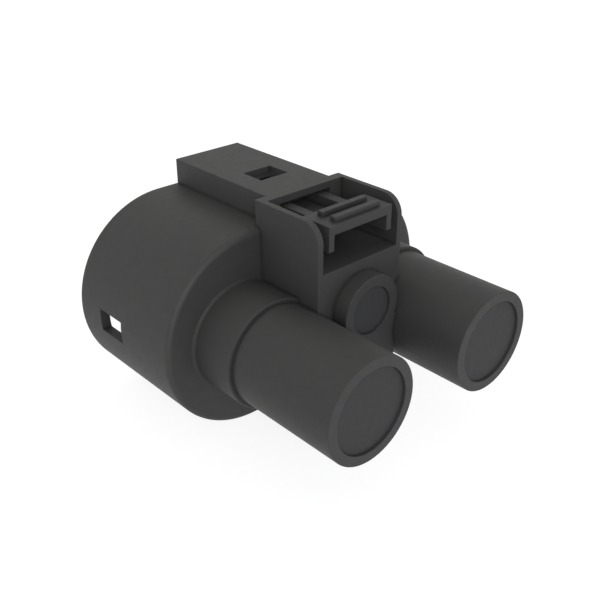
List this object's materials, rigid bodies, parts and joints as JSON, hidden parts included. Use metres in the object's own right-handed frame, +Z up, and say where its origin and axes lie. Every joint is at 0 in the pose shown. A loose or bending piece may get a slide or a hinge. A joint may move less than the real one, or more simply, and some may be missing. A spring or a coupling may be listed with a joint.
{
  "type": "connector housing",
  "caption": "Power plug housing with an obround mating shroud, a latch tower with a sprung press lever, round cable outlets and a small pilot outlet between them.",
  "frame": {"origin": "centre of the mating plane, at the mouth of the shroud and level with the cable axes", "axes": "+Y the mating direction, away from the cables; +X across the two poles; +Z up, towards the latch"},
  "size_m": [0.061, 0.0591, 0.0418],
  "materials": {
    "housing_plastic": "fine matt moulded texture",
    "lever_plastic": "matt moulded",
    "carrier_plastic": "matt moulded",
    "cover_plastic": "matt moulded",
    "lock_plastic": "matt moulded",
    "retainer_plastic": "matt moulded",
    "plug_plastic": "matt moulded",
    "seal_silicone": "dull silicone",
    "plated_copper": "silver plated",
    "spring_bronze": "plain bronze strip",
    "shield_steel": "tinned sheet"
  },
  "bodies": {
    "housing": {"contact_carrier": "carrier_plastic", "contact_lock": "lock_plastic", "front_cover": "cover_plastic", "interface_seal": "seal_silicone", "left_blanking_plug": "plug_plastic", "left_cable_seal": "seal_silicone", "left_contact_spring": "spring_bronze", "left_pilot_contact": "plated_copper", "left_power_contact": "plated_copper", "left_seal_support": "retainer_plastic", "left_shield_sleeve": "shield_steel", "outer_housing": "housing_plastic", "pilot_blanking_plug": "plug_plastic", "pilot_insert": "carrier_plastic", "pilot_link": "plated_copper", "pilot_seal": "seal_silicone", "right_blanking_plug": "plug_plastic", "right_cable_seal": "seal_silicone", "right_contact_spring": "spring_bronze", "right_pilot_contact": "plated_copper", "right_power_contact": "plated_copper", "right_seal_support": "retainer_plastic", "right_shield_sleeve": "shield_steel", "seal_retainer": "retainer_plastic", "shield_cup": "shield_steel"},
    "latch": {"latch_lever": "lever_plastic"}
  },
  "joints": [
    {"name": "latch_hinge", "type": "hinge", "parent": "housing", "child": "latch", "pos_m": [0, -0.0225, 0.0199], "axis": [1, 0, 0], "range_deg": [0, 10], "stiffness_Nm_per_rad": 2}
  ]
}
